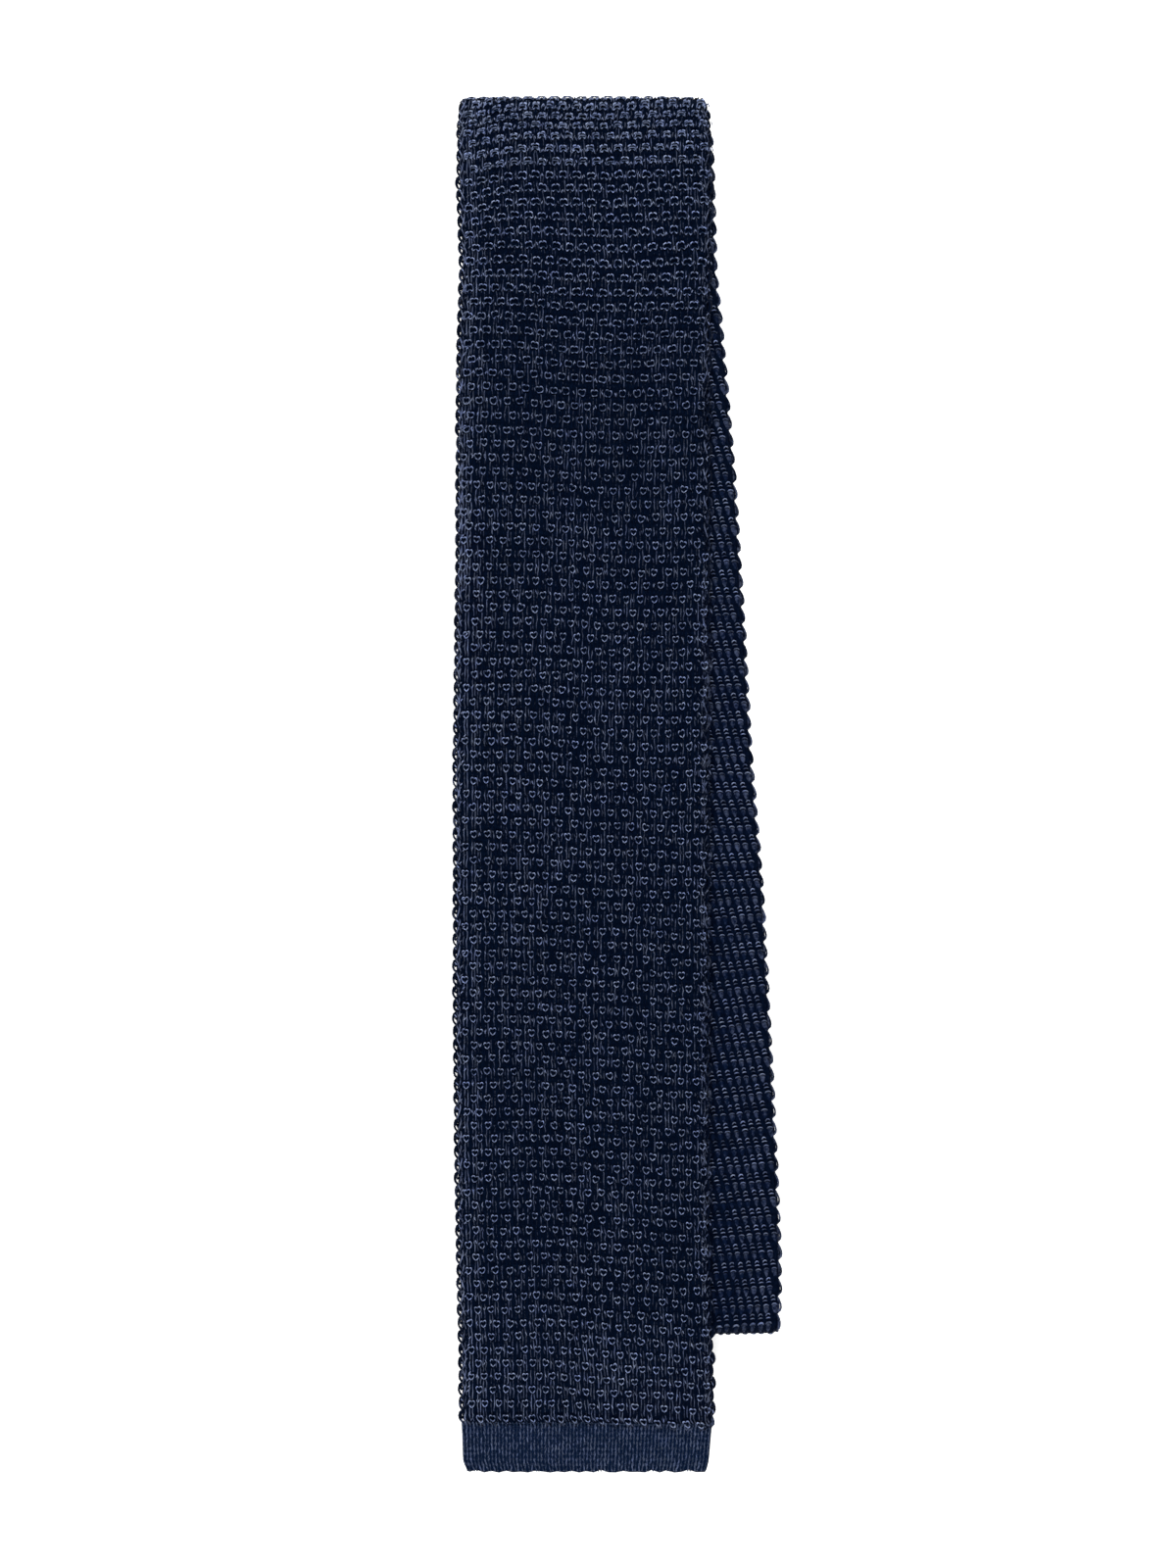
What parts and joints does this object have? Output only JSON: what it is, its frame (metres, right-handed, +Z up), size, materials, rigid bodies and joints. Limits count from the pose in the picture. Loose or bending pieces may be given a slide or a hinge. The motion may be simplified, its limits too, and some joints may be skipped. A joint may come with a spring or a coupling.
{
  "type": "knit tie",
  "caption": "Knit tie folded in four layers and lying flat, a flat knitted tube with plain knitted end bands.",
  "frame": {"origin": "middle of the footprint, on the surface that the tie lies on", "axes": "+Z up, +Y along the front layer from the broad end to the top fold, +X to the side where the second layer shows"},
  "size_m": [0.0908, 0.382, 0.0155],
  "materials": {
    "tuck_knit": "navy tuck-stitch silk knit, soft sheen",
    "plain_knit": "navy plain silk knit"
  },
  "bodies": {
    "root": {"broad_blade": "tuck_knit", "narrow_blade": "tuck_knit", "broad_end_band": "plain_knit", "narrow_end_band": "plain_knit"}
  },
  "joints": []
}
